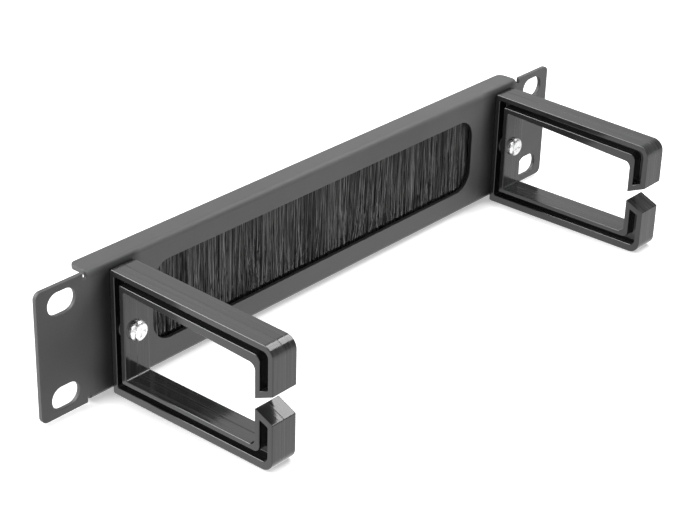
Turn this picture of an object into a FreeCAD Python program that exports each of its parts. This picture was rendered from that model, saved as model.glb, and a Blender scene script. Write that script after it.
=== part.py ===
"""Ten-inch rack panel, one unit high, with a brush strip and two moulded cable hooks.

The origin is the middle of the four rack slots, on the back face of the ears,
which is the face that lies on the rack's rails.
+X runs along the panel, +Y points into the rack and +Z is up. Lengths are in millimetres.
"""
import FreeCAD, Part
import math
import os

import Sketcher

doc = FreeCAD.newDocument("rack_brush_panel")
sheet = doc.addObject("Spreadsheet::Sheet", "Sizes")


class Size:
    """A length that knows its value and the formula that binds it to the sheet."""

    def __init__(self, value, formula):
        self.value = value
        self.formula = formula

    def __add__(self, other):
        other = as_size(other)
        return Size(self.value + other.value, f"({self.formula} + {other.formula})")

    def __sub__(self, other):
        other = as_size(other)
        return Size(self.value - other.value, f"({self.formula} - {other.formula})")

    def __mul__(self, factor):
        return Size(self.value * factor, f"({self.formula} * {factor})")

    def __truediv__(self, divisor):
        return Size(self.value / divisor, f"({self.formula} / {divisor})")

    def __neg__(self):
        return Size(-self.value, f"(0 - {self.formula})")


def as_size(number):
    """Give a plain number the form of a size."""
    return number if isinstance(number, Size) else Size(float(number), f"({float(number)})")


def size(name, number, meaning):
    """Write one driving dimension into the sheet and return it."""
    row = len(sheet.getUsedCells()) // 3 + 1
    sheet.set(f"A{row}", name)
    sheet.set(f"B{row}", str(number))
    sheet.set(f"C{row}", meaning)
    sheet.setAlias(f"B{row}", name)
    return Size(float(number), f"Sizes.{name}")


# Folded panel
panel_width = size("panel_width", 254, "over both ears")
panel_height = size("panel_height", 44, "one rack unit, less the gap to the next")
sheet_thick = size("sheet_thick", 1.5, "steel sheet of the panel")
bend_inner = size("bend_inner", 0.6, "inside radius of the folds")
flange_depth = size("flange_depth", 8.3, "front face to the flanges' back edge")
ear_length = size("ear_length", 19.8, "end of an ear to the flanges")
flange_corner = size("flange_corner", 2.5, "back corners of the flanges")
notch_width = size("notch_width", 1.5, "relief cut between a flange and an ear")
ear_corner = size("ear_corner", 2.3, "outer corners of the ears")
slot_margin = size("slot_margin", 9.75, "end of an ear to the middle of its slots")
slot_up = size("slot_up", 31.75, "slot centres, bottom to top")
slot_long = size("slot_long", 10.9, "slot, end to end")
slot_high = size("slot_high", 7.6, "slot, across")
opening_margin = size("opening_margin", 46.1, "end of an ear to the brush opening")
opening_height = size("opening_height", 27.8, "brush opening, bottom to top")
opening_corner = size("opening_corner", 7.4, "corners of the brush opening")
opening_rise = size("opening_rise", 0.35, "opening's middle above the panel's middle")

# Cable hooks
hook_width = size("hook_width", 10.1, "side to side")
hook_reach = size("hook_reach", 66.2, "panel's front face to the hook's nose")
hook_inset = size("hook_inset", 15.45, "hook screws, beyond the opening's ends")
hook_shift = size("hook_shift", 2.85, "both hooks, off the panel's middle")
screw_drop = size("screw_drop", 0.8, "hook screws, below the panel's middle")
hook_above = size("hook_above", 20.55, "screw to the top of the hook, at the panel")
hook_below = size("hook_below", 22.3, "screw to the underside of the hook")
hook_fall = size("hook_fall", 1.8, "the top arm drops this much towards its nose")
leg_thick = size("leg_thick", 5.9, "leg on the panel, front to back")
arm_root = size("arm_root", 6.0, "top arm at the leg, top to bottom")
arm_tip = size("arm_tip", 7.4, "top arm at the jaw, top to bottom")
base_thick = size("base_thick", 6.6, "bottom arm, top to bottom")
jaw_thick = size("jaw_thick", 7.0, "both jaws, front to back")
jaw_gap = size("jaw_gap", 3.2, "mouth between the jaws at its inner end")
jaw_flare = size("jaw_flare", 3.1, "each jaw's end opens outwards by this much")
mouth_drop = size("mouth_drop", 1.4, "middle of the mouth below the screw")
nose_radius = size("nose_radius", 4, "outer front corners")
heel_radius = size("heel_radius", 0.8, "outer corners at the panel")
loop_radius = size("loop_radius", 2.2, "inner corners at the jaws")
leg_corner = size("leg_corner", 0.6, "inner corners at the leg")
hook_wall = size("hook_wall", 2.0, "outer wall beside the groove")
base_wall = size("base_wall", 2.8, "outer wall below the bottom groove")
inner_wall = size("inner_wall", 1.9, "inner wall beside the groove")
groove_width = size("groove_width", 2.1, "groove in the top arm")
groove_end = size("groove_end", 2.3, "wall that closes the groove at the jaws' ends")
web_thick = size("web_thick", 1.6, "web between the two grooves")
boss_radius = size("boss_radius", 3.6, "boss in the leg round the screw")

# Hook screws, nuts and washers
screw_thread = size("screw_thread", 3.5, "hook screw, outside the thread")
screw_length = size("screw_length", 12, "hook screw, below the head")
head_width = size("head_width", 6.8, "pan head, across")
head_height = size("head_height", 2.0, "pan head, front to back")
head_round = size("head_round", 1.4, "rounding of the pan head")
recess_span = size("recess_span", 3.8, "cross recess, tip to tip")
recess_slot = size("recess_slot", 0.9, "cross recess, width of an arm")
recess_depth = size("recess_depth", 1.3, "cross recess, depth")
screw_nut = size("screw_nut", 6.0, "hook nut, across the flats")
screw_nut_height = size("screw_nut_height", 2.8, "hook nut, front to back")
screw_washer = size("screw_washer", 8.0, "hook washer, across")
washer_thick = size("washer_thick", 0.5, "washers, front to back")
hole_gap = size("hole_gap", 0.15, "clearance round a screw or stud, on the radius")
thread_gap = size("thread_gap", 0.05, "clearance in a nut, on the radius")

# Brush strip
strip_width = size("strip_width", 4.4, "crimped channel, front to back")
strip_height = size("strip_height", 5.3, "crimped channel, bottom to top")
strip_metal = size("strip_metal", 0.6, "sheet of the crimped channel")
strip_bend = size("strip_bend", 1.4, "outer bends of the crimped channel")
strip_over = size("strip_over", 2.6, "strip beyond the opening, at each end")
strip_gap = size("strip_gap", 0.3, "strip to the panel and to its top flange")
crimp_gap = size("crimp_gap", 0.05, "bristles to the channel and to the core wire")
wire_radius = size("wire_radius", 0.8, "core wire that the bristles are folded over")
wire_drop = size("wire_drop", 2.0, "core wire's middle below the channel's top")
bristle_length = size("bristle_length", 33.5, "channel's top to the tips of the front row")
tip_hang = size("tip_hang", 2.6, "the rows behind hang lower by this much")
tuft_pitch = size("tuft_pitch", 1.12, "from one tuft to the next")
tuft_gap = size("tuft_gap", 0.26, "between two tufts")
tuft_depth = size("tuft_depth", 0.85, "one row of tufts, front to back")
row_pitch = size("row_pitch", 1.0, "from one row of tufts to the next")
tip_spread = size("tip_spread", 1.1, "how uneven the tips are")
tip_lean = size("tip_lean", 1.5, "how far the tips lean sideways")

# Clamp that holds the strip
clamp_metal = size("clamp_metal", 1.0, "sheet of the clamp")
clamp_bend = size("clamp_bend", 0.5, "inside radius of the clamp's folds")
clamp_gap = size("clamp_gap", 0.1, "clamp to the strip")
lip_reach = size("lip_reach", 0.5, "lip under the strip's rear wall")
tab_width = size("tab_width", 7.6, "fixing tab, left to right")
tab_height = size("tab_height", 12.8, "fixing tab, bottom to top")
tab_corner = size("tab_corner", 1.5, "lower corners of the fixing tabs")
stud_thread = size("stud_thread", 3.0, "clamp stud, outside the thread")
stud_length = size("stud_length", 6.0, "clamp stud, from the panel")
stud_foot = size("stud_foot", 4.2, "welded foot of the clamp stud, across")
stud_foot_height = size("stud_foot_height", 0.6, "welded foot, front to back")
stud_nut = size("stud_nut", 5.5, "clamp nut, across the flats")
stud_nut_height = size("stud_nut_height", 2.4, "clamp nut, front to back")
stud_washer = size("stud_washer", 7.0, "clamp washer, across")

doc.recompute()

# Places that several pieces share
front_face = -sheet_thick
bend_outer = bend_inner + sheet_thick
top_edge = panel_height / 2
flange_length = panel_width - ear_length * 2
slot_across = panel_width - slot_margin * 2
opening_width = panel_width - opening_margin * 2
strip_top = top_edge - sheet_thick - strip_gap
strip_bottom = strip_top - strip_height
strip_front = strip_gap
strip_back = strip_front + strip_width
strip_half = opening_width / 2 + strip_over
clamp_top = top_edge - sheet_thick - bend_inner - clamp_gap
clamp_inside = strip_half + clamp_bend
tab_inner = clamp_inside + clamp_metal
stud_place = tab_inner + tab_width / 2
stud_height = clamp_top - tab_height + stud_washer / 2 + clamp_bend
hook_out = opening_width / 2 + hook_inset
hook_places = {"left": hook_shift - hook_out, "right": hook_shift + hook_out}
hook_level = -screw_drop


def new_body(label):
    """Start one piece."""
    body = doc.addObject("PartDesign::Body", label)
    body.Label = label
    return body


def plane_of(body, role):
    """Find one of a body's own origin planes."""
    for feature in body.Origin.OriginFeatures:
        if feature.Role == role:
            return feature
    raise ValueError(role)


def sketch_on(body, role, name, offset=None):
    """Start a sketch on an origin plane, moved along its normal if asked."""
    sketch = body.newObject("Sketcher::SketchObject", name)
    sketch.AttachmentSupport = [(plane_of(body, role), "")]
    sketch.MapMode = "FlatFace"
    if offset is not None:
        sketch.AttachmentOffset = FreeCAD.Placement(FreeCAD.Vector(0, 0, offset.value), FreeCAD.Rotation())
        sketch.setExpression("AttachmentOffset.Base.z", offset.formula)
    return sketch


def bind(sketch, constraint, length):
    """Add a constraint whose value follows the sheet."""
    index = sketch.addConstraint(constraint)
    sketch.setExpression(f"Constraints[{index}]", length.formula)


def pin_point(sketch, shape, end, across, up):
    """Hold a point of a sketch at its place from the sketch's origin."""
    bind(sketch, Sketcher.Constraint("DistanceX", -1, 1, shape, end, across.value), across)
    bind(sketch, Sketcher.Constraint("DistanceY", -1, 1, shape, end, up.value), up)


def arc_between(centre, first, last):
    """Make the arc that runs anticlockwise about its centre from one point to another."""
    along = FreeCAD.Vector(1, 0, 0)
    start = math.atan2((first - centre).y, (first - centre).x)
    stop = math.atan2((last - centre).y, (last - centre).x)
    if stop < start:
        stop += 2 * math.pi
    circle = Part.Circle(centre, FreeCAD.Vector(0, 0, 1), (first - centre).Length)
    circle.XAxis = along
    return Part.ArcOfCircle(circle, start, stop)


def rounded(before, here, after, radius):
    """Give the start, the end and the centre of the arc that rounds a corner."""
    back = (before - here).normalize()
    ahead = (after - here).normalize()
    half = back.getAngle(ahead) / 2
    reach = radius / math.tan(half)
    centre = here + (back + ahead).normalize() * (radius / math.sin(half))
    return here + back * reach, here + ahead * reach, centre


def draw_outline(sketch, corners):
    """Draw a closed outline through corners (across, up) or (across, up, radius)."""
    corners = [[as_size(length) for length in corner] for corner in corners]
    spots = [FreeCAD.Vector(corner[0].value, corner[1].value, 0) for corner in corners]
    count = len(corners)
    arcs = []
    for i, corner in enumerate(corners):
        if len(corner) == 3:
            arcs.append(rounded(spots[i - 1], spots[i], spots[(i + 1) % count], corner[2].value))
        else:
            arcs.append((spots[i], spots[i], None))
    lines = []
    kinds = []
    for i, corner in enumerate(corners):
        ahead = (i + 1) % count
        line = sketch.addGeometry(Part.LineSegment(arcs[i][1], arcs[ahead][0]), False)
        lines.append(line)
        if abs(spots[i].x - spots[ahead].x) < 1e-9:
            kinds.append("upright")
            sketch.addConstraint(Sketcher.Constraint("Vertical", line))
            bind(sketch, Sketcher.Constraint("DistanceX", -1, 1, line, 1, corner[0].value), corner[0])
        elif abs(spots[i].y - spots[ahead].y) < 1e-9:
            kinds.append("level")
            sketch.addConstraint(Sketcher.Constraint("Horizontal", line))
            bind(sketch, Sketcher.Constraint("DistanceY", -1, 1, line, 1, corner[1].value), corner[1])
        else:
            kinds.append("slanted")
    for i, corner in enumerate(corners):
        into = lines[i - 1]
        out = lines[i]
        beside = (kinds[i - 1], kinds[i])
        held = out
        if len(corner) == 2:
            sketch.addConstraint(Sketcher.Constraint("Coincident", into, 2, out, 1))
        else:
            start, stop, centre = arcs[i]
            turns_left = (start - spots[i]).cross(stop - spots[i]).z < 0
            first = 1 if turns_left else 2
            ends = (start, stop) if turns_left else (stop, start)
            arc = sketch.addGeometry(arc_between(centre, *ends), False)
            sketch.addConstraint(Sketcher.Constraint("Tangent", into, 2, arc, first))
            sketch.addConstraint(Sketcher.Constraint("Tangent", out, 1, arc, 3 - first))
            bind(sketch, Sketcher.Constraint("Radius", arc, corner[2].value), corner[2])
            if "slanted" in beside:
                held = sketch.addGeometry(Part.Point(spots[i]), True)
                sketch.addConstraint(Sketcher.Constraint("PointOnObject", held, 1, into))
                sketch.addConstraint(Sketcher.Constraint("PointOnObject", held, 1, out))
        if "slanted" in beside and "upright" not in beside:
            bind(sketch, Sketcher.Constraint("DistanceX", -1, 1, held, 1, corner[0].value), corner[0])
        if "slanted" in beside and "level" not in beside:
            bind(sketch, Sketcher.Constraint("DistanceY", -1, 1, held, 1, corner[1].value), corner[1])


def draw_circle(sketch, across, up, radius):
    """Draw a circle."""
    across = as_size(across)
    up = as_size(up)
    centre = FreeCAD.Vector(across.value, up.value, 0)
    circle = sketch.addGeometry(Part.Circle(centre, FreeCAD.Vector(0, 0, 1), radius.value), False)
    pin_point(sketch, circle, 3, across, up)
    bind(sketch, Sketcher.Constraint("Radius", circle, radius.value), radius)


def draw_box(sketch, left, bottom, right, top, radius=None):
    """Draw an upright rectangle, with rounded corners if a radius is given."""
    corners = [[left, bottom], [right, bottom], [right, top], [left, top]]
    if radius is not None:
        for corner in corners:
            corner.append(radius)
    draw_outline(sketch, corners)


def draw_slot(sketch, across, up, length, width):
    """Draw a level slot with half-round ends."""
    end = width / 2
    straight = (length - width) / 2
    corners = []
    for side, way in ((straight, 1), (-straight, -1)):
        low = FreeCAD.Vector((across + side).value, (up - end * way).value, 0)
        middle = FreeCAD.Vector((across + side).value, up.value, 0)
        high = FreeCAD.Vector((across + side).value, (up + end * way).value, 0)
        corners.append((side, low, middle, high))
    arcs = [sketch.addGeometry(arc_between(middle, low, high), False) for side, low, middle, high in corners]
    for here, there in ((0, 1), (1, 0)):
        line = Part.LineSegment(corners[here][3], corners[there][1])
        edge = sketch.addGeometry(line, False)
        sketch.addConstraint(Sketcher.Constraint("Tangent", arcs[here], 2, edge, 1))
        sketch.addConstraint(Sketcher.Constraint("Tangent", edge, 2, arcs[there], 1))
    for arc, (side, low, middle, high) in zip(arcs, corners):
        bind(sketch, Sketcher.Constraint("DistanceX", -1, 1, arc, 3, (across + side).value), across + side)
    bind(sketch, Sketcher.Constraint("DistanceY", -1, 1, arcs[0], 3, up.value), up)
    bind(sketch, Sketcher.Constraint("DistanceY", -1, 1, arcs[1], 3, up.value), up)
    bind(sketch, Sketcher.Constraint("Radius", arcs[0], end.value), end)


def pad(body, sketch, length, both_ways=False, backwards=False):
    """Add material along the sketch's normal."""
    feature = body.newObject("PartDesign::Pad", f"{sketch.Name}_pad")
    feature.Profile = sketch
    feature.Length = length.value
    feature.setExpression("Length", length.formula)
    feature.SideType = "Symmetric" if both_ways else "One side"
    feature.Reversed = backwards
    sketch.Visibility = False
    return feature


def cut(body, sketch, length=None, backwards=False):
    """Take material away, right through both ways if no length is given, and see that it did."""
    doc.recompute()
    before = body.Shape.Volume
    feature = body.newObject("PartDesign::Pocket", f"{sketch.Name}_cut")
    feature.Profile = sketch
    if length is None:
        feature.Type = "ThroughAll"
        feature.SideType = "Symmetric"
    else:
        feature.Length = length.value
        feature.setExpression("Length", length.formula)
        feature.Reversed = backwards
    doc.recompute()
    if not body.Shape.Volume < before:
        raise RuntimeError(f"{feature.Label} takes nothing away")
    return feature


def move(item, across=None, back=None, up=None):
    """Place a piece from the sheet."""
    for axis, length in (("x", across), ("y", back), ("z", up)):
        if length is not None:
            item.setExpression(f"Placement.Base.{axis}", length.formula)


def turn(body, name, corners):
    """Turn a piece about the line that runs into the rack, from corners (radius, back)."""
    sketch = sketch_on(body, "XY_Plane", name)
    draw_outline(sketch, corners)
    feature = body.newObject("PartDesign::Revolution", f"{name}_turned")
    feature.Profile = sketch
    feature.ReferenceAxis = (sketch, ["V_Axis"])
    feature.Angle = 360
    return feature


def group(label, bodies):
    """Put like fasteners into one node as separate solids."""
    doc.recompute()
    item = doc.addObject("Part::Compound", label)
    item.Label = label
    item.Links = bodies
    return item


def round_edges(body, name, length, wanted):
    """Round the edges of a body that a test picks out."""
    doc.recompute()
    base = body.Tip
    edges = [f"Edge{i}" for i, edge in enumerate(base.Shape.Edges, 1) if wanted(edge)]
    feature = body.newObject("PartDesign::Fillet", name)
    feature.Base = (base, edges)
    feature.Radius = length.value
    feature.setExpression("Radius", length.formula)
    return feature


def make_panel():
    """Fold the sheet into a channel and add the flat front with its ears and openings."""
    body = new_body("panel")
    back_edge = flange_depth - sheet_thick
    inner_top = top_edge - sheet_thick
    fold = sketch_on(body, "YZ_Plane", "panel_fold")
    draw_outline(fold, [
        (back_edge, top_edge),
        (front_face, top_edge, bend_outer),
        (front_face, -top_edge, bend_outer),
        (back_edge, -top_edge),
        (back_edge, -inner_top),
        (0, -inner_top, bend_inner),
        (0, inner_top, bend_inner),
        (back_edge, inner_top),
    ])
    pad(body, fold, flange_length, both_ways=True)

    face = sketch_on(body, "XZ_Plane", "panel_face")
    ear = panel_width / 2
    notch = flange_length / 2 + notch_width
    shoulder = top_edge - bend_outer
    draw_outline(face, [
        (-ear, top_edge, ear_corner),
        (-notch, top_edge),
        (-notch, shoulder),
        (notch, shoulder),
        (notch, top_edge),
        (ear, top_edge, ear_corner),
        (ear, -top_edge, ear_corner),
        (notch, -top_edge),
        (notch, -shoulder),
        (-notch, -shoulder),
        (-notch, -top_edge),
        (-ear, -top_edge, ear_corner),
    ])
    pad(body, face, sheet_thick)

    def flange_back_corner(edge):
        upright = abs(edge.BoundBox.ZLength - sheet_thick.value) < 1e-4 and edge.BoundBox.XLength < 1e-4
        return upright and abs(edge.BoundBox.YMin - back_edge.value) < 1e-4

    round_edges(body, "panel_flange_corners", flange_corner, flange_back_corner)

    holes = sketch_on(body, "XZ_Plane", "panel_openings")
    half = opening_width / 2
    draw_box(holes, -half, opening_rise - opening_height / 2, half, opening_rise + opening_height / 2,
             opening_corner)
    for side in (-1, 1):
        for level in (-1, 1):
            draw_slot(holes, slot_across / 2 * side, slot_up / 2 * level, slot_long, slot_high)
    for place in hook_places.values():
        draw_circle(holes, place, hook_level, screw_thread / 2 + hole_gap)
    cut(body, holes)
    return body


def make_hook(label, place):
    """Mould one hook: an open loop of I section whose jaws leave a slanted mouth."""
    body = new_body(label)
    nose = -hook_reach
    jaw = jaw_thick - hook_reach
    leg = -leg_thick
    top_back = hook_above
    top_front = hook_above - hook_fall
    inner_back = hook_above - arm_root
    inner_front = top_front - arm_tip
    floor = -hook_below
    inner_floor = base_thick - hook_below
    upper_jaw = jaw_gap / 2 - mouth_drop
    lower_jaw = -(jaw_gap / 2) - mouth_drop

    outer = sketch_on(body, "YZ_Plane", f"{label}_outline")
    draw_outline(outer, [
        (jaw, upper_jaw),
        (jaw, inner_front, loop_radius),
        (leg, inner_back, leg_corner),
        (leg, inner_floor, leg_corner),
        (jaw, inner_floor, loop_radius),
        (jaw, lower_jaw),
        (nose, lower_jaw - jaw_flare),
        (nose, floor, nose_radius),
        (0, floor, heel_radius),
        (0, top_back, heel_radius),
        (nose, top_front, nose_radius),
        (nose, upper_jaw + jaw_flare),
    ])
    pad(body, outer, hook_width, both_ways=True)

    groove_nose = hook_wall - hook_reach
    groove_jaw = jaw - inner_wall
    groove_leg = inner_wall - leg_thick
    groove_back = -hook_wall
    slope_at_nose = jaw_flare * ((jaw_thick.value - hook_wall.value) / jaw_thick.value)
    slope_at_jaw = jaw_flare * (inner_wall.value / jaw_thick.value)
    groove_round = nose_radius - hook_wall
    groove_corners = [
        (groove_jaw, upper_jaw + slope_at_jaw + groove_end),
        (groove_jaw, top_front - hook_wall - groove_width, loop_radius),
        (groove_leg, top_back - hook_wall - groove_width),
        (groove_leg, floor + base_wall + groove_width, leg_corner),
        (groove_jaw, floor + base_wall + groove_width, loop_radius),
        (groove_jaw, lower_jaw - slope_at_jaw - groove_end),
        (groove_nose, lower_jaw - slope_at_nose - groove_end),
        (groove_nose, floor + base_wall, groove_round),
        (groove_back, floor + base_wall, leg_corner),
        (groove_back, top_back - hook_wall, leg_corner),
        (groove_nose, top_front - hook_wall, groove_round),
        (groove_nose, upper_jaw + slope_at_nose + groove_end),
    ]
    groove = sketch_on(body, "YZ_Plane", f"{label}_groove")
    draw_outline(groove, groove_corners)
    cut(body, groove)
    web = sketch_on(body, "YZ_Plane", f"{label}_web")
    draw_outline(web, groove_corners)
    pad(body, web, web_thick, both_ways=True)

    boss = sketch_on(body, "XZ_Plane", f"{label}_boss")
    draw_circle(boss, 0, 0, boss_radius)
    pad(body, boss, leg_thick)
    hole = sketch_on(body, "XZ_Plane", f"{label}_hole")
    draw_circle(hole, 0, 0, screw_thread / 2 + hole_gap)
    cut(body, hole, leg_thick, backwards=True)
    move(body, place, front_face, hook_level)
    return body


def make_screw(label, place):
    """Turn a pan head screw and sink its cross recess."""
    body = new_body(label)
    thread = screw_thread / 2
    chamfer = screw_thread / 8
    turn(body, f"{label}_section", [
        (0, -head_height),
        (head_width / 2, -head_height, head_round),
        (head_width / 2, 0),
        (thread, 0),
        (thread, screw_length - chamfer),
        (thread - chamfer, screw_length),
        (0, screw_length),
    ])
    cross = sketch_on(body, "XZ_Plane", f"{label}_cross", head_height - recess_depth)
    tip = recess_span / 2
    side = recess_slot / 2
    draw_outline(cross, [
        (-tip, -side), (-side, -side), (-side, -tip), (side, -tip), (side, -side), (tip, -side),
        (tip, side), (side, side), (side, tip), (-side, tip), (-side, side), (-tip, side),
    ])
    cut(body, cross, recess_depth * 2, backwards=True)
    move(body, place, front_face - leg_thick, hook_level)
    return body


def make_ring(label, place, back, up, width, bore):
    """Stamp a washer."""
    body = new_body(label)
    ring = sketch_on(body, "XZ_Plane", f"{label}_ring")
    draw_circle(ring, 0, 0, width / 2)
    draw_circle(ring, 0, 0, bore)
    pad(body, ring, washer_thick, backwards=True)
    move(body, place, back, up)
    return body


def make_nut(label, place, back, up, flats, bore, height):
    """Make a hexagon nut."""
    body = new_body(label)
    hexagon = sketch_on(body, "XZ_Plane", f"{label}_hexagon")
    corner = flats / 2 / math.cos(math.radians(30))
    flat = flats / 2
    draw_outline(hexagon, [
        (corner, 0), (corner / 2, flat), (-corner / 2, flat),
        (-corner, 0), (-corner / 2, -flat), (corner / 2, -flat),
    ])
    draw_circle(hexagon, 0, 0, bore)
    pad(body, hexagon, height, backwards=True)
    move(body, place, back, up)
    return body


def make_stud(label, place, up):
    """Turn a weld stud whose foot stands on the back of the panel."""
    body = new_body(label)
    thread = stud_thread / 2
    chamfer = stud_thread / 8
    turn(body, f"{label}_section", [
        (0, 0),
        (stud_foot / 2, 0),
        (stud_foot / 2, stud_foot_height),
        (thread, stud_foot_height),
        (thread, stud_length - chamfer),
        (thread - chamfer, stud_length),
        (0, stud_length),
    ])
    move(body, place, None, up)
    return body


def make_strip_channel():
    """Fold the channel that is crimped over the bristles."""
    body = new_body("strip_channel")
    section = sketch_on(body, "YZ_Plane", "strip_section")
    inner_bend = strip_bend - strip_metal
    draw_outline(section, [
        (strip_front, strip_bottom),
        (strip_front, strip_top, strip_bend),
        (strip_back, strip_top, strip_bend),
        (strip_back, strip_bottom),
        (strip_back - strip_metal, strip_bottom),
        (strip_back - strip_metal, strip_top - strip_metal, inner_bend),
        (strip_front + strip_metal, strip_top - strip_metal, inner_bend),
        (strip_front + strip_metal, strip_bottom),
    ])
    pad(body, section, strip_half * 2, both_ways=True)
    return body


def make_core_wire():
    """Draw the wire that the bristles are folded over."""
    body = new_body("core_wire")
    section = sketch_on(body, "YZ_Plane", "wire_section")
    draw_circle(section, (strip_front + strip_back) / 2, strip_top - wire_drop, wire_radius)
    pad(body, section, strip_half * 2, both_ways=True)
    return body


def make_clamp():
    """Fold the rail that holds the strip against the panel, with a fixing tab at each end."""
    body = new_body("brush_clamp")
    back = strip_back + clamp_gap
    end = tab_inner + tab_width
    outer_bend = clamp_bend + clamp_metal
    lip_top = strip_bottom - clamp_gap
    lip_bottom = lip_top - clamp_metal
    rail = sketch_on(body, "XY_Plane", "clamp_rail", lip_bottom)
    draw_outline(rail, [
        (-end, 0),
        (-clamp_inside, 0, outer_bend),
        (-clamp_inside, back, clamp_bend),
        (clamp_inside, back, clamp_bend),
        (clamp_inside, 0, outer_bend),
        (end, 0),
        (end, clamp_metal),
        (tab_inner, clamp_metal, clamp_bend),
        (tab_inner, back + clamp_metal, outer_bend),
        (-tab_inner, back + clamp_metal, outer_bend),
        (-tab_inner, clamp_metal, clamp_bend),
        (-end, clamp_metal),
    ])
    pad(body, rail, clamp_top - lip_bottom)
    lip = sketch_on(body, "YZ_Plane", "clamp_lip")
    draw_box(lip, strip_back - lip_reach, lip_bottom, back + clamp_metal / 2, lip_top)
    pad(body, lip, (clamp_inside - outer_bend) * 2, both_ways=True)
    for side in (-1, 1):
        tab = sketch_on(body, "XZ_Plane", "clamp_tab_left" if side < 0 else "clamp_tab_right")
        low = clamp_top - tab_height
        near = (tab_inner + clamp_bend) * side
        far = end * side
        draw_outline(tab, [
            (near, clamp_top), (near, low, tab_corner), (far, low, tab_corner), (far, clamp_top),
        ])
        pad(body, tab, clamp_metal, backwards=True)
    holes = sketch_on(body, "XZ_Plane", "clamp_holes")
    for side in (-1, 1):
        draw_circle(holes, stud_place * side, stud_height, stud_foot / 2 + hole_gap)
    cut(body, holes)
    return body


def tuft_row(row, depth_at, root, first_tip):
    """Cut one row of tufts as a comb whose teeth lean and end unevenly."""
    pitch = tuft_pitch.value
    half_tooth = (pitch - tuft_gap.value) / 2
    half = strip_half.value - crimp_gap.value
    count = int((2 * half - pitch) / pitch)
    start = -pitch * (count - 1) / 2 + (row % 2 - 0.5) * pitch / 2
    points = [FreeCAD.Vector(half, depth_at, root + strip_metal.value)]
    points.append(FreeCAD.Vector(-half, depth_at, root + strip_metal.value))
    points.append(FreeCAD.Vector(-half, depth_at, root))
    for i in range(count):
        middle = start + i * pitch
        lean = tip_lean.value * math.sin(0.21 * i + 2.1 * row) * math.sin(0.047 * i + row)
        short = tip_spread.value * (0.5 + 0.25 * math.sin(2.3 * i + row) + 0.25 * math.sin(5.1 * i))
        tip = first_tip + short
        inset = half_tooth * 0.25
        points.append(FreeCAD.Vector(middle - half_tooth, depth_at, root))
        points.append(FreeCAD.Vector(middle + lean - half_tooth + inset, depth_at, tip))
        points.append(FreeCAD.Vector(middle + lean + half_tooth - inset, depth_at, tip))
        points.append(FreeCAD.Vector(middle + half_tooth, depth_at, root))
    points.append(FreeCAD.Vector(half, depth_at, root))
    points.append(points[0])
    face = Part.Face(Part.makePolygon(points))
    return face.extrude(FreeCAD.Vector(0, tuft_depth.value, 0))


def make_bristles():
    """Gather the bristles into three rows of tufts below a root that is crimped over the wire."""
    item = doc.addObject("Part::Feature", "bristles")
    item.Label = "bristles"
    middle = (strip_front.value + strip_back.value) / 2
    width = strip_width.value - 2 * (strip_metal.value + crimp_gap.value)
    length = 2 * (strip_half.value - crimp_gap.value)
    root_bottom = strip_bottom.value + strip_metal.value
    root_top = strip_top.value - strip_metal.value - crimp_gap.value
    corner = FreeCAD.Vector(-length / 2, middle - width / 2, root_bottom)
    shape = Part.makeBox(length, width, root_top - root_bottom, corner)
    top_edges = []
    for edge in shape.Edges:
        if edge.BoundBox.ZMin > root_top - 1e-4 and edge.BoundBox.YLength < 1e-4:
            top_edges.append(edge)
    shape = shape.makeFillet(strip_bend.value - strip_metal.value, top_edges)
    first_tip = strip_top.value - bristle_length.value
    for row in range(3):
        depth_at = middle + (row - 1) * row_pitch.value - tuft_depth.value / 2
        row_tip = first_tip if row == 0 else first_tip - tip_hang.value
        shape = shape.fuse(tuft_row(row, depth_at, root_bottom, row_tip))
    wire_at = FreeCAD.Vector(-length / 2, middle, strip_top.value - wire_drop.value)
    bore = Part.makeCylinder(wire_radius.value + crimp_gap.value, length, wire_at, FreeCAD.Vector(1, 0, 0))
    item.Shape = shape.cut(bore)
    return item


pieces = [make_panel(), make_strip_channel(), make_core_wire(), make_bristles(), make_clamp()]
for side, place in hook_places.items():
    pieces.append(make_hook(f"hook_{side}", place))

screw_bore = screw_thread / 2
screws = [make_screw(f"hook_screw_{side}", place) for side, place in hook_places.items()]
washers = []
nuts = []
for side, place in hook_places.items():
    washers.append(make_ring(f"hook_washer_{side}", place, None, hook_level, screw_washer, screw_bore + hole_gap))
    nuts.append(make_nut(f"hook_nut_{side}", place, washer_thick, hook_level,
                         screw_nut, screw_bore + thread_gap, screw_nut_height))
pieces.append(group("hook_screws", screws))
pieces.append(group("hook_washers", washers))
pieces.append(group("hook_nuts", nuts))

stud_bore = stud_thread / 2
stud_places = {"left": -stud_place, "right": stud_place}
studs = []
washers = []
nuts = []
for side, place in stud_places.items():
    studs.append(make_stud(f"clamp_stud_{side}", place, stud_height))
    washers.append(make_ring(f"clamp_washer_{side}", place, clamp_metal, stud_height,
                             stud_washer, stud_bore + hole_gap))
    nuts.append(make_nut(f"clamp_nut_{side}", place, clamp_metal + washer_thick, stud_height,
                         stud_nut, stud_bore + thread_gap, stud_nut_height))
pieces.append(group("clamp_studs", studs))
pieces.append(group("clamp_washers", washers))
pieces.append(group("clamp_nuts", nuts))

doc.recompute()
for item in doc.Objects:
    if "Invalid" in item.State or "Error" in item.State:
        raise RuntimeError(f"{item.Label} did not build: {item.State}")
for piece in pieces:
    if piece.Shape.isNull() or not piece.Shape.isValid():
        raise RuntimeError(f"{piece.Label} has no valid shape")

os.makedirs("parts", exist_ok=True)
for piece in pieces:
    piece.Shape.exportStep(f"parts/{piece.Label}.step")
    print(piece.Label, len(piece.Shape.Solids), round(piece.Shape.Volume, 1))
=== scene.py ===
"""Looks of the rack brush strip panel.

A folded, powder-coated sheet with a brush strip behind its opening and two moulded hooks in front.
Lengths are in metres in the part's own frame.
"""
import math
import random

import bmesh
import bpy
from mathutils import Matrix, Vector


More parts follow.
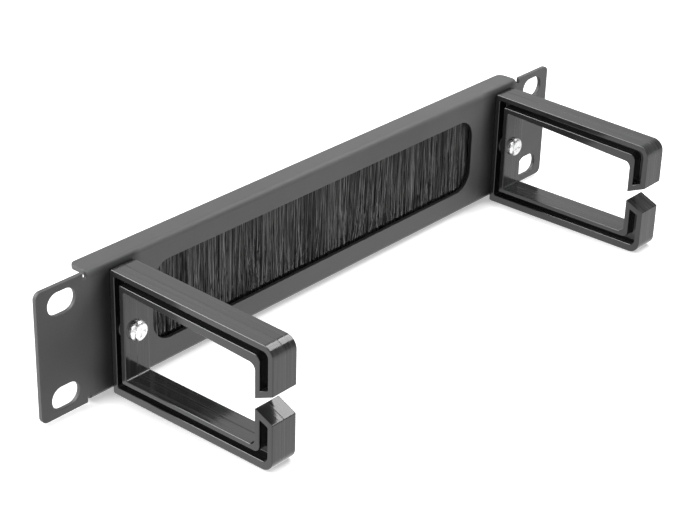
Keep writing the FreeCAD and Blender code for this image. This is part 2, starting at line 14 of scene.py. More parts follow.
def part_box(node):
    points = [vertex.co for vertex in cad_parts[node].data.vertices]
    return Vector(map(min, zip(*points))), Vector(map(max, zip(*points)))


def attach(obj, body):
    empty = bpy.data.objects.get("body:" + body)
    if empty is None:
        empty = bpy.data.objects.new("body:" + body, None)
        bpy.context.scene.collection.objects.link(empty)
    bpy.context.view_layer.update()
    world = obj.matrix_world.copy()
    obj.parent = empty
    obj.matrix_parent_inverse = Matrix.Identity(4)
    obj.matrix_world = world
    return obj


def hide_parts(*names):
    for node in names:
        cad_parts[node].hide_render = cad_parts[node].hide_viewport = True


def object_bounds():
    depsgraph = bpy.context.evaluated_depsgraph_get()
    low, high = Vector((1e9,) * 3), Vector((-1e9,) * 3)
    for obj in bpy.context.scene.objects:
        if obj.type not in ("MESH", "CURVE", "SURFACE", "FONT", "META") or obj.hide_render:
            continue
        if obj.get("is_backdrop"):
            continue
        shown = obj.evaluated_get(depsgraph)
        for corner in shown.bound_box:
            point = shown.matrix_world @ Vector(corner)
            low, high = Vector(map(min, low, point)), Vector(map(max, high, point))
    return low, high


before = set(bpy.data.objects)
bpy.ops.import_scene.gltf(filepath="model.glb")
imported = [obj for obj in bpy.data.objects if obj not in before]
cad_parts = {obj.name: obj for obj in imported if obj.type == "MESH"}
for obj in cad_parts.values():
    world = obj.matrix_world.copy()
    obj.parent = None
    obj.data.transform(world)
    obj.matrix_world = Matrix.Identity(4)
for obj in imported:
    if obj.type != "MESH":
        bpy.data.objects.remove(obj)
cad_low, cad_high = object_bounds()

MM = 0.001
BODY = "root"
SEED = 11

strip_low, strip_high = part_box("strip_channel")
bristle_low, bristle_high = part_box("bristles")
hook_boxes = {side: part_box(f"hook_{side}") for side in ("left", "right")}


# Materials

# Shadow beside a hook: where it starts and is deepest at the left, and where it ends at the right
SHADE_LEFT_START = 8 * MM
SHADE_LEFT_FULL = 1.5 * MM
SHADE_RIGHT_END = 3 * MM
SHADE_LEAST = 0.25
# Near-black painted shade for the opening's cut edge
RIM_PAINTED_SHADE = (0.006, 0.006, 0.006, 1)


class Recipe:
    """A node material that is put together one node at a time."""

    def __init__(self, name):
        self.material = bpy.data.materials.new(name)
        self.material.use_nodes = True
        self.tree = self.material.node_tree
        self.shader = self.tree.nodes["Principled BSDF"]

    def add(self, kind, **settings):
        node = self.tree.nodes.new(kind)
        for key, value in settings.items():
            setattr(node, key, value)
        return node

    def wire(self, source, target):
        self.tree.links.new(source, target)

    def set(self, **sockets):
        for key, value in sockets.items():
            self.shader.inputs[key.replace("_", " ")].default_value = value

    def place(self, scale=(1, 1, 1)):
        """Give the position in the part's frame, stretched by scale."""
        where = self.add("ShaderNodeTexCoord")
        stretch = self.add("ShaderNodeVectorMath", operation="MULTIPLY")
        stretch.inputs[1].default_value = scale
        self.wire(where.outputs["Object"], stretch.inputs[0])
        return stretch.outputs[0]

    def noise(self, scale, detail=3, roughness=0.5, stretch=(1, 1, 1)):
        """Give cloudy noise with scale waves to the metre."""
        node = self.add("ShaderNodeTexNoise")
        node.inputs["Scale"].default_value = scale
        node.inputs["Detail"].default_value = detail
        node.inputs["Roughness"].default_value = roughness
        self.wire(self.place(stretch), node.inputs["Vector"])
        return node.outputs["Fac"]

    def ramp(self, source, low, high, start=0.35, stop=0.65):
        """Turn a value into a colour or grey between two ends."""
        node = self.add("ShaderNodeMapRange")
        node.inputs["From Min"].default_value = start
        node.inputs["From Max"].default_value = stop
        node.inputs["To Min"].default_value = low
        node.inputs["To Max"].default_value = high
        self.wire(source, node.inputs["Value"])
        return node.outputs["Result"]

    def tint(self, factor, first, second):
        """Blend two colours by a factor."""
        node = self.add("ShaderNodeMix", data_type="RGBA")
        node.inputs["A"].default_value = (*first, 1)
        node.inputs["B"].default_value = (*second, 1)
        self.wire(factor, node.inputs["Factor"])
        return node.outputs["Result"]

    def math(self, operation, first, second=None):
        """Join one or two values, each a socket or a plain number."""
        node = self.add("ShaderNodeMath", operation=operation)
        for socket, value in zip(node.inputs, (first, second)):
            if value is None:
                continue
            if isinstance(value, (int, float)):
                socket.default_value = value
            else:
                self.wire(value, socket)
        return node.outputs[0]

    def painted_rim_shade(self, coat, half_width, half_height, middle):
        """Paint shade onto the cut edge of the opening, where the bristles take the light away."""
        where = self.add("ShaderNodeSeparateXYZ")
        self.wire(self.place(), where.inputs[0])
        facing = self.add("ShaderNodeSeparateXYZ")
        self.wire(self.add("ShaderNodeNewGeometry").outputs["Normal"], facing.inputs[0])
        inside = self.math("LESS_THAN", self.math("ABSOLUTE", where.outputs["X"]), half_width)
        height = self.math("ABSOLUTE", self.math("SUBTRACT", where.outputs["Z"], middle))
        inside = self.math("MULTIPLY", inside, self.math("LESS_THAN", height, half_height))
        across = self.math("LESS_THAN", self.math("ABSOLUTE", facing.outputs["Y"]), 0.3)
        node = self.add("ShaderNodeMix", data_type="RGBA")
        self.wire(self.math("MULTIPLY", inside, across), node.inputs["Factor"])
        self.wire(coat, node.inputs["A"])
        node.inputs["B"].default_value = RIM_PAINTED_SHADE
        return node.outputs["Result"]

    def shaded_beside(self, coat, boxes):
        """Deepen the coat right beside the hooks, where their shadow is closest."""
        where = self.add("ShaderNodeSeparateXYZ")
        self.wire(self.place(), where.inputs[0])
        facing = self.add("ShaderNodeSeparateXYZ")
        self.wire(self.add("ShaderNodeNewGeometry").outputs["Normal"], facing.inputs[0])
        elsewhere = self.ramp(facing.outputs["Y"], 0, 1, -0.95, -0.5)
        for low, high in boxes:
            left = self.ramp(where.outputs["X"], 1, SHADE_LEAST, low.x - SHADE_LEFT_START,
                             low.x - SHADE_LEFT_FULL)
            right = self.ramp(where.outputs["X"], SHADE_LEAST, 1, high.x, high.x + SHADE_RIGHT_END)
            share = self.math("MAXIMUM", elsewhere, self.math("MAXIMUM", left, right))
            shaded = self.add("ShaderNodeVectorMath", operation="SCALE")
            self.wire(coat, shaded.inputs[0])
            self.wire(share, shaded.inputs["Scale"])
            coat = shaded.outputs[0]
        return coat

    def bump(self, height, strength, distance, base=None):
        """Turn a height into a normal, on top of another one if there is one."""
        node = self.add("ShaderNodeBump")
        node.inputs["Strength"].default_value = strength
        node.inputs["Distance"].default_value = distance
        self.wire(height, node.inputs["Height"])
        if base is not None:
            self.wire(base, node.inputs["Normal"])
        return node.outputs["Normal"]


def powder_coat(name, light, dark, roughness, rim=None):
    """Fine matt powder coat: an even grey with a close orange peel and small speckles; given rim,
    painted shade on the opening's cut edge and painted shadow beside the hooks.
    """
    recipe = Recipe(name)
    recipe.set(Metallic=0.0)
    grain = recipe.noise(3200, 2, 0.6)
    clouds = recipe.noise(26, 3, 0.5)
    mixed = recipe.math("ADD", recipe.math("MULTIPLY", grain, 0.55),
                        recipe.math("MULTIPLY", clouds, 0.45))
    coat = recipe.tint(recipe.ramp(mixed, 0, 1), dark, light)
    if rim:
        # Painted shade on the opening's cut edge and painted shadow beside the hooks
        coat = recipe.shaded_beside(recipe.painted_rim_shade(coat, *rim), hook_boxes.values())
    recipe.wire(coat, recipe.shader.inputs["Base Color"])
    recipe.wire(recipe.ramp(grain, roughness - 0.05, roughness + 0.07),
                recipe.shader.inputs["Roughness"])
    peel = recipe.bump(recipe.noise(1500, 2, 0.5), 0.16, 0.08 * MM)
    fine = recipe.bump(grain, 0.12, 0.03 * MM, peel)
    recipe.wire(fine, recipe.shader.inputs["Normal"])
    return recipe.material


def moulded_plastic(name, middle):
    """Semi-gloss black moulding with fine lengthwise streaks and a parting line at mid-width."""
    recipe = Recipe(name)
    streaks = recipe.noise(900, 3, 0.6, (1, 0.014, 0.014))
    broad = recipe.noise(60, 2, 0.5, (1, 0.25, 0.25))
    mixed = recipe.math("ADD", recipe.math("MULTIPLY", streaks, 0.7),
                        recipe.math("MULTIPLY", broad, 0.3))
    lines = recipe.ramp(mixed, 0, 1, 0.42, 0.6)
    recipe.wire(recipe.tint(lines, (0.026, 0.0262, 0.0267), (0.050, 0.0504, 0.0512)),
                recipe.shader.inputs["Base Color"])
    recipe.wire(recipe.ramp(lines, 0.08, 0.2, 0, 1), recipe.shader.inputs["Roughness"])
    recipe.set(Specular_IOR_Level=0.62)
    where = recipe.add("ShaderNodeSeparateXYZ")
    recipe.wire(recipe.place(), where.inputs[0])
    from_middle = recipe.math("ABSOLUTE", recipe.math("SUBTRACT", where.outputs["X"], middle))
    ridge = recipe.ramp(from_middle, 1, 0, 0.02 * MM, 0.16 * MM)
    first = recipe.bump(streaks, 0.55, 0.04 * MM)
    second = recipe.bump(ridge, 0.55, 0.05 * MM, first)
    recipe.wire(second, recipe.shader.inputs["Normal"])
    return recipe.material


def plated(name, light, dark, roughness, spread=0.12):
    """Zinc-plated or galvanised steel with faint blotches and a fine grain."""
    recipe = Recipe(name)
    recipe.set(Metallic=1.0)
    blotches = recipe.noise(420, 4, 0.6)
    recipe.wire(recipe.tint(recipe.ramp(blotches, 0, 1), dark, light),
                recipe.shader.inputs["Base Color"])
    recipe.wire(recipe.ramp(blotches, roughness + spread, roughness - spread),
                recipe.shader.inputs["Roughness"])
    recipe.wire(recipe.bump(recipe.noise(2600, 2, 0.5), 0.15, 0.03 * MM),
                recipe.shader.inputs["Normal"])
    return recipe.material


def hatched(name):
    """Bright zinc of the two hook screws, with a diagonal hatch that breaks up the shine."""
    recipe = Recipe(name)
    recipe.set(Metallic=1.0, Base_Color=(0.93, 0.93, 0.94, 1))
    hatch = recipe.add("ShaderNodeTexWave", wave_type="BANDS", bands_direction="DIAGONAL")
    hatch.inputs["Scale"].default_value = 420
    hatch.inputs["Distortion"].default_value = 3.0
    hatch.inputs["Detail"].default_value = 2
    recipe.wire(recipe.place(), hatch.inputs["Vector"])
    grain = recipe.noise(2200, 3, 0.6)
    recipe.wire(recipe.ramp(grain, 0.2, 0.42), recipe.shader.inputs["Roughness"])
    first = recipe.bump(hatch.outputs["Fac"], 0.45, 0.08 * MM)
    recipe.wire(recipe.bump(grain, 0.3, 0.05 * MM, first),
                recipe.shader.inputs["Normal"])
    return recipe.material


def filament(name, light, gloss):
    """Dark nylon filaments, each with its own shade, paler towards the tips as painted light and
    darker towards the roots as painted shade.
    """
    recipe = Recipe(name)
    recipe.set(Roughness=0.42, Specular_IOR_Level=gloss)
    each = recipe.add("ShaderNodeNewGeometry")
    strands = recipe.ramp(recipe.noise(1300, 3, 0.6, (1, 1, 0.06)), 0, 1, 0.4, 0.6)
    shade = recipe.math("POWER", each.outputs["Random Per Island"], 1.5)
    streaked = recipe.math("ADD", recipe.math("MULTIPLY", strands, 1.1), 0.45)
    mixed = recipe.math("MULTIPLY", shade, streaked)
    where = recipe.add("ShaderNodeSeparateXYZ")
    recipe.wire(recipe.place(), where.inputs[0])
    # Painted light towards the tips and painted shade towards the roots
    painted_tip_light_root_shade = recipe.ramp(where.outputs["Z"], 1.65, 0.55, bristle_low.z, bristle_high.z)
    shade = recipe.math("MULTIPLY", mixed, painted_tip_light_root_shade)
    recipe.wire(recipe.tint(shade, (0.003, 0.003, 0.0031), (light, light, light)),
                recipe.shader.inputs["Base Color"])
    return recipe.material


# Half width, half height and middle height of the area round the opening's cut edge, where shade is
# painted
opening_rim = (81.3 * MM, 14.3 * MM, 0.35 * MM)
panel_coat = powder_coat("panel_coat", (0.117, 0.117, 0.118), (0.086, 0.086, 0.087), 0.52,
                         opening_rim)
clamp_coat = powder_coat("clamp_coat", (0.060, 0.060, 0.061), (0.042, 0.042, 0.043), 0.5)
galvanised = plated("galvanised_sheet", (0.62, 0.63, 0.64), (0.45, 0.46, 0.47), 0.42)
bright_zinc = plated("bright_zinc", (0.86, 0.87, 0.88), (0.66, 0.67, 0.69), 0.24, 0.08)
screw_zinc = hatched("screw_zinc")
# The middle and deep bands are the same nylon made darker: painted shade where the front band takes
# the light away
nylon_front = filament("nylon_front", 0.28, 0.42)
nylon_middle_painted_shade = filament("nylon_middle_painted_shade", 0.07, 0.25)
nylon_deep_painted_shade = filament("nylon_deep_painted_shade", 0.03, 0.15)
plastic = {}
for side, (low, high) in hook_boxes.items():
    plastic[side] = moulded_plastic(f"hook_plastic_{side}", (low.x + high.x) / 2)


# Pieces

def add_piece(name, mesh, material, nodes=()):
    """Put a mesh into the scene as a piece that rides on the part's body."""
    piece = bpy.data.objects.new(name, mesh)
    bpy.context.scene.collection.objects.link(piece)
    mesh.materials.clear()
    mesh.materials.append(material)
    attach(piece, BODY)
    if nodes:
        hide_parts(*nodes)
    return piece


def softened(node, material, width, segments=2, angle=28):
    """Stand a copy with softened edges in for a CAD node."""
    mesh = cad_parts[node].data.copy()
    shape = bmesh.new()
    shape.from_mesh(mesh)
    bmesh.ops.remove_doubles(shape, verts=shape.verts, dist=0.002 * MM)
    bmesh.ops.dissolve_limit(shape, angle_limit=math.radians(0.6), verts=shape.verts,
                             edges=shape.edges)
    for face in shape.faces:
        face.smooth = True
    shape.to_mesh(mesh)
    shape.free()
    piece = add_piece(f"{node}_soft", mesh, material, [node])
    bevel = piece.modifiers.new("edges", "BEVEL")
    bevel.width = width
    bevel.segments = segments
    bevel.limit_method = "ANGLE"
    bevel.angle_limit = math.radians(angle)
    bevel.use_clamp_overlap = False
    bevel.miter_outer = "MITER_ARC"
    normals = piece.modifiers.new("normals", "WEIGHTED_NORMAL")
    normals.keep_sharp = True
    return piece


softened("panel", panel_coat, 0.22 * MM)
softened("brush_clamp", clamp_coat, 0.15 * MM)
softened("strip_channel", galvanised, 0.12 * MM)
softened("core_wire", galvanised, 0.08 * MM)
for side in hook_boxes:
    softened(f"hook_{side}", plastic[side], 0.3 * MM, 3)
for node in ("hook_washers", "clamp_washers"):
    softened(node, bright_zinc, 0.08 * MM)


# Turned screws and studs with their threads, and nuts with chamfers

AROUND = 72
FACE_RINGS = 30
ROUND_RINGS = 12
THREAD_PITCH = 0.6 * MM
THREAD_DEPTH = 0.22 * MM
HEAD_RADIUS = 3.4 * MM
HEAD_HEIGHT = 2.0 * MM
HEAD_ROUND = 1.4 * MM
SCREW_RADIUS = 1.75 * MM
RECESS_SPAN = 1.9 * MM
RECESS_SIDE = 0.45 * MM
RECESS_SLOPE = 0.3 * MM
RECESS_DEPTH = 0.5 * MM
RECESS_LIP = 0.1 * MM
FOOT_RADIUS = 2.1 * MM
FOOT_HEIGHT = 0.6 * MM
STUD_RADIUS = 1.5 * MM
NUT_CHAMFER = 0.35 * MM
NUT_FACE = 0.97
BORE_CHAMFER = 0.3 * MM
THREAD_GAP = 0.05 * MM


def turned(name, centres, stations, shape, closed=False):
    """Sweep rings of points round each centre; shape may move a ring's point in or back."""
    mesh_form = bmesh.new()
    for centre_x, centre_z in centres:
        rings = []
        for radius, depth in stations:
            ring = []
            for k in range(AROUND):
                angle = math.tau * k / AROUND
                reach, back = shape(radius, depth, angle)
                point = (centre_x + reach * math.cos(angle), back, centre_z + reach * math.sin(angle))
                ring.append(mesh_form.verts.new(point))
            rings.append(ring)
        pairs = list(zip(rings, rings[1:]))
        if closed:
            pairs.append((rings[-1], rings[0]))
        else:
            mesh_form.faces.new(rings[0])
            mesh_form.faces.new(rings[-1])
        for first, second in pairs:
            for k in range(AROUND):
                after = (k + 1) % AROUND
                mesh_form.faces.new((first[k], first[after], second[after], second[k]))
    bmesh.ops.recalc_face_normals(mesh_form, faces=mesh_form.faces)
    for face in mesh_form.faces:
        face.smooth = True
    mesh = bpy.data.meshes.new(name)
    mesh_form.to_mesh(mesh)
    mesh_form.free()
    mesh.set_sharp_from_angle(angle=math.radians(32))
    return mesh


def smooth_step(value):
    """Ease from 0 to 1 and stay there."""
    value = min(max(value, 0), 1)
    return value * value * (3 - 2 * value)


def cross_recess(radius, angle):
    """Depth of a cross recess with sloping walls at a place on the head."""
    across = abs(radius * math.cos(angle))
    upward = abs(radius * math.sin(angle))
    inside = max(min(RECESS_SIDE - across, RECESS_SPAN - upward),
                 min(RECESS_SIDE - upward, RECESS_SPAN - across))
    return RECESS_DEPTH * smooth_step((inside + RECESS_LIP) / RECESS_SLOPE)


def thread_stations(radius, start, stop):
    """Rings close enough to show a thread, with a pointed end."""
    count = int((stop - start) / THREAD_PITCH * 8)
    stations = [(radius, start + (stop - start) * i / count) for i in range(count)]
    stations.append((radius * 0.75, stop))
    return stations


def thread_shape(radius, depth, angle, start):
    """Cut a thread into the rings behind start."""
    if depth <= start or radius < STUD_RADIUS:
        return radius, depth
    turn = (depth / THREAD_PITCH + angle / math.tau) % 1
    return radius - THREAD_DEPTH * abs(2 * turn - 1), depth


screw_low, screw_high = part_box("hook_screws")
screw_middle = (screw_low.z + screw_high.z) / 2
screw_centres = [((low.x + high.x) / 2, screw_middle) for low, high in hook_boxes.values()]
head_back = screw_low.y + HEAD_HEIGHT
flat = HEAD_RADIUS - HEAD_ROUND
stations = [(flat * (i + 0.5) / FACE_RINGS, screw_low.y) for i in range(FACE_RINGS)]
for i in range(ROUND_RINGS + 1):
    bend = math.pi / 2 * i / ROUND_RINGS
    depth = screw_low.y + HEAD_ROUND * (1 - math.cos(bend))
    stations.append((flat + HEAD_ROUND * math.sin(bend), depth))
stations += [(HEAD_RADIUS, head_back), (SCREW_RADIUS, head_back), (SCREW_RADIUS, 0)]
stations += thread_stations(SCREW_RADIUS, THREAD_GAP, screw_high.y)


def screw_shape(radius, depth, angle):
    """Sink the recess into the head and cut the thread behind the panel."""
    if depth == screw_low.y:
        return radius, depth + cross_recess(radius, angle)
    return thread_shape(radius, depth, angle, 0)


mesh = turned("hook_screws_turned", screw_centres, stations, screw_shape)
add_piece("hook_screws_turned", mesh, screw_zinc, ["hook_screws"])


def hexagon_shape(flat):
    """Limit a ring to a hexagon whose corners point left and right."""
    def shape(radius, depth, angle):
        return min(radius, flat / math.cos(angle % (math.pi / 3) - math.pi / 6)), depth
    return shape


nut_centres = {}
for node, bore in (("hook_nuts", SCREW_RADIUS), ("clamp_nuts", STUD_RADIUS)):
    low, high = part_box(node)
    flat = (high.z - low.z) / 2
    corner = flat / math.cos(math.pi / 6)
    middle = (low.z + high.z) / 2
    nut_centres[node] = [(low.x + corner, middle), (high.x - corner, middle)]
    bore += THREAD_GAP
    stations = [(bore, low.y), (flat * NUT_FACE, low.y), (corner, low.y + NUT_CHAMFER),
                (corner, high.y - NUT_CHAMFER), (flat * NUT_FACE, high.y),
                (bore + BORE_CHAMFER, high.y), (bore, high.y - BORE_CHAMFER)]
    mesh = turned(f"{node}_turned", nut_centres[node], stations, hexagon_shape(flat), closed=True)
    add_piece(f"{node}_turned", mesh, bright_zinc, [node])

stud_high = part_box("clamp_studs")[1]
stations = [(FOOT_RADIUS * 0.5, 0), (FOOT_RADIUS, 0), (FOOT_RADIUS, FOOT_HEIGHT),
            (STUD_RADIUS, FOOT_HEIGHT)]
stations += thread_stations(STUD_RADIUS, FOOT_HEIGHT + THREAD_GAP, stud_high.y)


def stud_shape(radius, depth, angle):
    """Cut the thread behind the stud's foot."""
    return thread_shape(radius, depth, angle, FOOT_HEIGHT)


mesh = turned("clamp_studs_turned", nut_centres["clamp_nuts"], stations, stud_shape)
add_piece("clamp_studs_turned", mesh, bright_zinc, ["clamp_studs"])


# Bristles

STEPS = 7
SIDES = 3
CLUMP = 1.35 * MM
FLARE = 4 * MM
FLARE_OUT = 1.2 * MM
STRAY_SHARE = 0.28
STRAY_LEAN = 2.4 * MM
USUAL_LEAN = 0.6 * MM


def make_filaments(name, count, near, far, tips, uneven, radius, taper, seed):
    """Hang a band of thin tapered filaments that splay and cross towards uneven tips."""
    pick = random.Random(seed)
    left = strip_low.x + 0.4 * MM
    right = strip_high.x - 0.4 * MM
    root = strip_low.z + 0.8 * MM
    edge_left = bristle_low.x + radius
    edge_right = bristle_high.x - radius
    clump_count = int((right - left) / CLUMP)
    clumps = []
    for i in range(clump_count):
        middle = left + (i + 0.5 + pick.uniform(-0.3, 0.3)) * CLUMP
        clumps.append((middle, pick.gauss(0, 0.4 * MM), pick.gauss(0, 0.2 * MM)))
    points = []
    faces = []
    for i in range(count):
        start = left + (right - left) * (i + pick.random()) / count
        middle, clump_lean, clump_sway = clumps[min(int((start - left) / CLUMP), clump_count - 1)]
        deep = pick.uniform(near, far)
        tip = tips + abs(pick.gauss(0, uneven))
        pull = pick.uniform(0.0, 0.25)
        stray = STRAY_LEAN if pick.random() < STRAY_SHARE else USUAL_LEAN
        lean = clump_lean * pick.uniform(0.4, 1.3) + pick.gauss(0, stray)
        flare = FLARE_OUT * (max(0, 1 - (right - start) / FLARE) - max(0, 1 - (start - left) / FLARE))
        sway = clump_sway + pick.gauss(0, 0.3 * MM)
        lean_back = pick.gauss(0, 0.22 * MM)
        thickness = radius * pick.uniform(0.75, 1.15)
        turn = pick.uniform(0, math.tau)
        first = len(points)
        for step in range(STEPS):
            t = step / (STEPS - 1)
            gather = (middle - start) * pull * math.sin(math.pi * min(1, t * 1.3)) * 0.8
            x = start + gather + lean * t * t + flare * math.sqrt(t) + sway * math.sin(t * 2.6) * t
            x = min(max(x, edge_left), edge_right)
            y = min(max(deep + lean_back * t * t, bristle_low.y), bristle_high.y)
            z = root + (tip - root) * t
            thick = thickness * (1 - taper * t)
            for side in range(SIDES):
                angle = turn + math.tau * side / SIDES
                points.append((x + thick * math.cos(angle), y + thick * math.sin(angle), z))
        for step in range(STEPS - 1):
            for side in range(SIDES):
                a = first + step * SIDES + side
                b = first + step * SIDES + (side + 1) % SIDES
                faces.append((a, a + SIDES, b + SIDES, b))
        last = first + (STEPS - 1) * SIDES
        faces.append(tuple(last + side for side in range(SIDES)))
    mesh = bpy.data.meshes.new(name)
    mesh.from_pydata(points, [], faces)
    mesh.polygons.foreach_set("use_smooth", [True] * len(mesh.polygons))
    mesh.update()
    return mesh


# Each band: count, depth from and to as shares of the strip, tips, their spread, radius, taper, look
inner_front = strip_low.y + 0.75 * MM
inner_deep = strip_high.y - 0.75 * MM - inner_front
long_tips = bristle_low.z + 0.05 * MM
short_tips = bristle_low.z + 2.6 * MM
BANDS = (
    (880, 0.00, 0.10, short_tips, 0.35 * MM, 0.15 * MM, 0.15, nylon_front),
    (5000, 0.25, 0.60, long_tips, 0.08 * MM, 0.14 * MM, 0.05, nylon_deep_painted_shade),
    (900, 0.08, 0.25, short_tips, 0.4 * MM, 0.14 * MM, 0.3, nylon_middle_painted_shade),
    (3600, 0.60, 1.00, long_tips, 0.15 * MM, 0.12 * MM, 0.05, nylon_deep_painted_shade),
)
for band, (count, near, far, tips, uneven, radius, taper, material) in enumerate(BANDS):
    mesh = make_filaments(f"filaments_{band}", count, inner_front + inner_deep * near,
                          inner_front + inner_deep * far, tips, uneven, radius, taper, SEED + band)
    add_piece(f"filaments_{band}", mesh, material, ["bristles"] if band == 1 else ())


# Camera, as the photo was taken

AZIMUTH = math.radians(-50.26)
ELEVATION = math.radians(27.159)
ROLL = math.radians(1.727)
DISTANCE = 638.183 * MM
SHIFT_RIGHT = 8.649 * MM
SHIFT_UP = 5.620 * MM
AIM = Vector((0, -1.5, -22)) * MM
FOCAL_PIXELS = 1859.822
PHOTO_WIDTH = 700
SENSOR = 36

level = Vector((math.cos(AZIMUTH), math.sin(AZIMUTH), 0))
back = Vector((math.sin(AZIMUTH) * math.cos(ELEVATION), -math.cos(AZIMUTH) * math.cos(ELEVATION),
               math.sin(ELEVATION)))
upright = back.cross(level)
right = level * math.cos(ROLL) + upright * math.sin(ROLL)
up = upright * math.cos(ROLL) - level * math.sin(ROLL)
eye = AIM + back * DISTANCE + right * SHIFT_RIGHT + up * SHIFT_UP

camera = bpy.data.objects.new("camera", bpy.data.cameras.new("camera"))
bpy.context.scene.collection.objects.link(camera)
camera.data.sensor_width = SENSOR
camera.data.lens = FOCAL_PIXELS * SENSOR / PHOTO_WIDTH
camera.data.clip_start = 0.05
camera.data.clip_end = 20
camera.matrix_world = Matrix((right, up, back)).transposed().to_4x4()
camera.location = eye
bpy.context.scene.camera = camera


# Studio

def add_light(name, place, size, power, aim=(0, 0, 0)):
    """Hang a soft rectangular light that looks at the part."""
    data = bpy.data.lights.new(name, "AREA")
    data.shape = "RECTANGLE"
    data.size, data.size_y = size
    data.energy = power
    lamp = bpy.data.objects.new(name, data)
    bpy.context.scene.collection.objects.link(lamp)
    lamp.location = place
    lamp.rotation_euler = (Vector(aim) - Vector(place)).to_track_quat("-Z", "Y").to_euler()
    return lamp


def add_sun(name, azimuth, elevation, strength, spread):
    """Send parallel light; azimuth is measured from straight in front, to the right."""
    data = bpy.data.lights.new(name, "SUN")
    data.energy = strength
    data.angle = spread
    lamp = bpy.data.objects.new(name, data)
    bpy.context.scene.collection.objects.link(lamp)
    way = Vector((math.sin(azimuth) * math.cos(elevation), -math.cos(azimuth) * math.cos(elevation),
                  math.sin(elevation)))
    lamp.rotation_euler = (-way).to_track_quat("-Z", "Y").to_euler()
    return lamp


add_light("light_top", (0.15, 0.25, 1.1), (1.2, 0.9), 3.0)
add_light("light_rim", (-0.50, 0.62, 0.75), (0.5, 0.5), 3.0)
add_light("light_corner", (0.22, -0.10, 0.33), (0.34, 0.14), 1.0, aim=(-0.093, -0.06, 0.01))
# These light the part softly but are not seen as bright spots in its gloss
unmirrored = [
    add_light("light_key", (0.32, -0.70, 0.20), (0.25, 0.25), 1.2),
    add_light("light_side", (-0.9, 0.05, 0.06), (0.25, 0.25), 7.3),
    add_sun("light_front", math.radians(8), math.radians(3), 1.0, math.radians(12)),
]
for lamp in unmirrored:
    lamp.visible_glossy = False

world = bpy.data.worlds.new("studio")
bpy.context.scene.world = world
world.use_nodes = True
nodes = world.node_tree.nodes
links = world.node_tree.links


def add_background(strength):
    """Give a plain white surround of the given strength."""
    node = nodes.new("ShaderNodeBackground")
    node.inputs["Color"].default_value = (1, 1, 1, 1)
    node.inputs["Strength"].default_value = strength
    return node


def sky_patch(direction, start, stop, outside, inside):
    """Give a value that goes from outside to inside as a ray turns towards a direction."""
    near = nodes.new("ShaderNodeVectorMath")
    near.operation = "DOT_PRODUCT"
    near.inputs[1].default_value = Vector(direction).normalized()
    links.new(toward.outputs["Generated"], near.inputs[0])
    patch = nodes.new("ShaderNodeMapRange")
    patch.inputs["From Min"].default_value = start
    patch.inputs["From Max"].default_value = stop
    patch.inputs["To Min"].default_value = outside
    patch.inputs["To Max"].default_value = inside
    links.new(near.outputs["Value"], patch.inputs["Value"])
    return patch.outputs["Result"]


def combine(operation, first, second):
    """Join two values of the surround."""
    node = nodes.new("ShaderNodeMath")
    node.operation = operation
    links.new(first, node.inputs[0])
    links.new(second, node.inputs[1])
    return node.outputs[0]


def choose(ray, otherwise, chosen):
    """Take one surround for a kind of ray and the other for the rest."""
    node = nodes.new("ShaderNodeMixShader")
    links.new(path.outputs[ray], node.inputs["Fac"])
    links.new(otherwise.outputs[0], node.inputs[1])
    links.new(chosen.outputs[0], node.inputs[2])
    return node


# Gloss sees a bright place high at the left, a weaker one behind and a dim one at the right
toward = nodes.new("ShaderNodeTexCoord")
path = nodes.new("ShaderNodeLightPath")
upper_left = sky_patch((-0.46, 0.57, 0.68), 0.74, 0.95, 0.7, 6.5)
behind = sky_patch((0.60, 0.63, 0.49), 0.955, 0.998, 0, 0.55)
right_dim = sky_patch((0.68, -0.46, 0.57), 0.7, 0.95, 1, 0.35)
shine = add_background(1)
links.new(combine("MULTIPLY", combine("ADD", upper_left, behind), right_dim), shine.inputs["Strength"])
around = choose("Is Glossy Ray", add_background(0.03), shine)
around = choose("Is Camera Ray", around, add_background(1))
links.new(around.outputs[0], nodes["World Output"].inputs["Surface"])

FLOOR_REACH = 6
FLOOR_GAP = 0.02 * MM

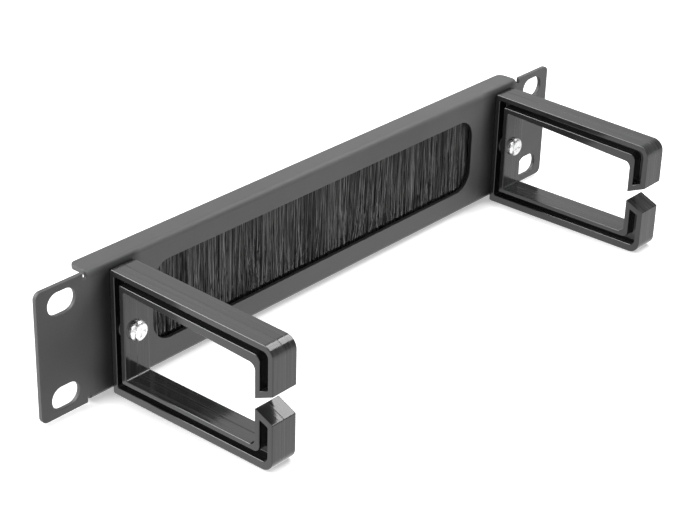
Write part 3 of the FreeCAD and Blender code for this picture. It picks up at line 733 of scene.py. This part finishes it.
floor_mesh = bpy.data.meshes.new("floor")
floor_level = cad_low.z - FLOOR_GAP
corners = [(-FLOOR_REACH, -FLOOR_REACH, floor_level), (FLOOR_REACH, -FLOOR_REACH, floor_level),
           (FLOOR_REACH, FLOOR_REACH, floor_level), (-FLOOR_REACH, FLOOR_REACH, floor_level)]
floor_mesh.from_pydata(corners, [], [(0, 1, 2, 3)])
floor = bpy.data.objects.new("floor", floor_mesh)
bpy.context.scene.collection.objects.link(floor)
floor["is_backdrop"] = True

# White paper to the camera with a soft contact shadow, a gleam to mirrored rays and grey to soft light
paper = Recipe("paper")
paper.set(Base_Color=(0.8, 0.8, 0.8, 1), Roughness=0.9, Specular_IOR_Level=0.1)
glow = paper.add("ShaderNodeEmission")
contact = paper.add("ShaderNodeAmbientOcclusion")
contact.inputs["Distance"].default_value = 8 * MM
paper.wire(paper.ramp(contact.outputs["AO"], 0.4, 1.0, 0.3, 0.95), glow.inputs["Strength"])
ray = paper.add("ShaderNodeLightPath")
total = paper.add("ShaderNodeAddShader")
choice = paper.add("ShaderNodeMixShader")
gleam = paper.add("ShaderNodeEmission")
spot = paper.add("ShaderNodeSeparateXYZ")
paper.wire(paper.place(), spot.inputs[0])
paper.wire(paper.ramp(spot.outputs["X"], 1.38, 1.02, 0.02, 0.16), gleam.inputs["Strength"])
bounce = paper.add("ShaderNodeBsdfDiffuse")
bounce.inputs["Color"].default_value = (0.16, 0.16, 0.16, 1)
seen = paper.add("ShaderNodeMixShader")
paper.wire(ray.outputs["Is Glossy Ray"], seen.inputs["Fac"])
paper.wire(bounce.outputs[0], seen.inputs[1])
paper.wire(gleam.outputs[0], seen.inputs[2])
paper.wire(paper.shader.outputs[0], total.inputs[0])
paper.wire(glow.outputs[0], total.inputs[1])
paper.wire(ray.outputs["Is Camera Ray"], choice.inputs["Fac"])
paper.wire(seen.outputs[0], choice.inputs[1])
paper.wire(total.outputs[0], choice.inputs[2])
paper.wire(choice.outputs[0], paper.tree.nodes["Material Output"].inputs["Surface"])
floor_mesh.materials.append(paper.material)

bpy.context.scene.view_settings.view_transform = "Standard"

low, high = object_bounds()
